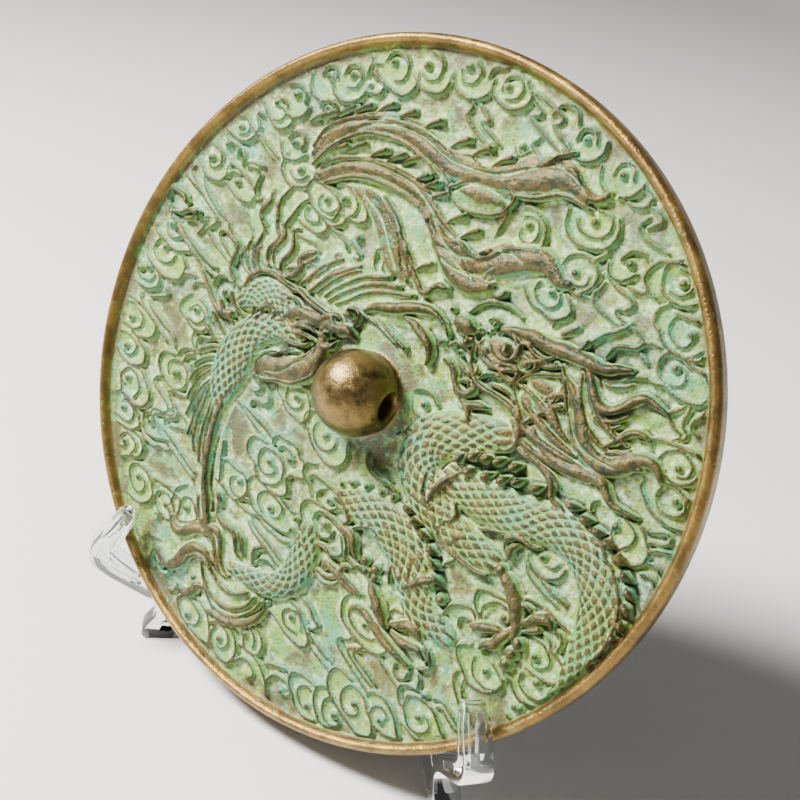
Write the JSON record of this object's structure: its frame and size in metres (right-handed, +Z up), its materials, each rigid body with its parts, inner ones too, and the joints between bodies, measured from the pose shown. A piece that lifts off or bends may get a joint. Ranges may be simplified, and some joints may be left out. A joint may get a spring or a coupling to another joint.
{
  "type": "bronze mirror on a stand",
  "caption": "Round cast bronze mirror, its back in relief with a dragon, a phoenix and clouds, leaning on a clear moulded plate stand.",
  "frame": {"origin": "on the ground plane, under the middle of the bounding box; the centre of the disc is 5.4 mm in front of it", "axes": "+Z up; -Y is the front, which the decorated back of the mirror faces; +X is to the right of a viewer in front"},
  "size_m": [0.2, 0.0904, 0.1953],
  "materials": {
    "bronze": "cast bronze, brown on the high parts, pale green patina in the ground",
    "clear_plastic": "clear moulded plastic, glossy"
  },
  "bodies": {
    "root": {"mirror": "bronze", "stand_panel_left": "clear_plastic", "stand_panel_right": "clear_plastic"}
  },
  "joints": []
}
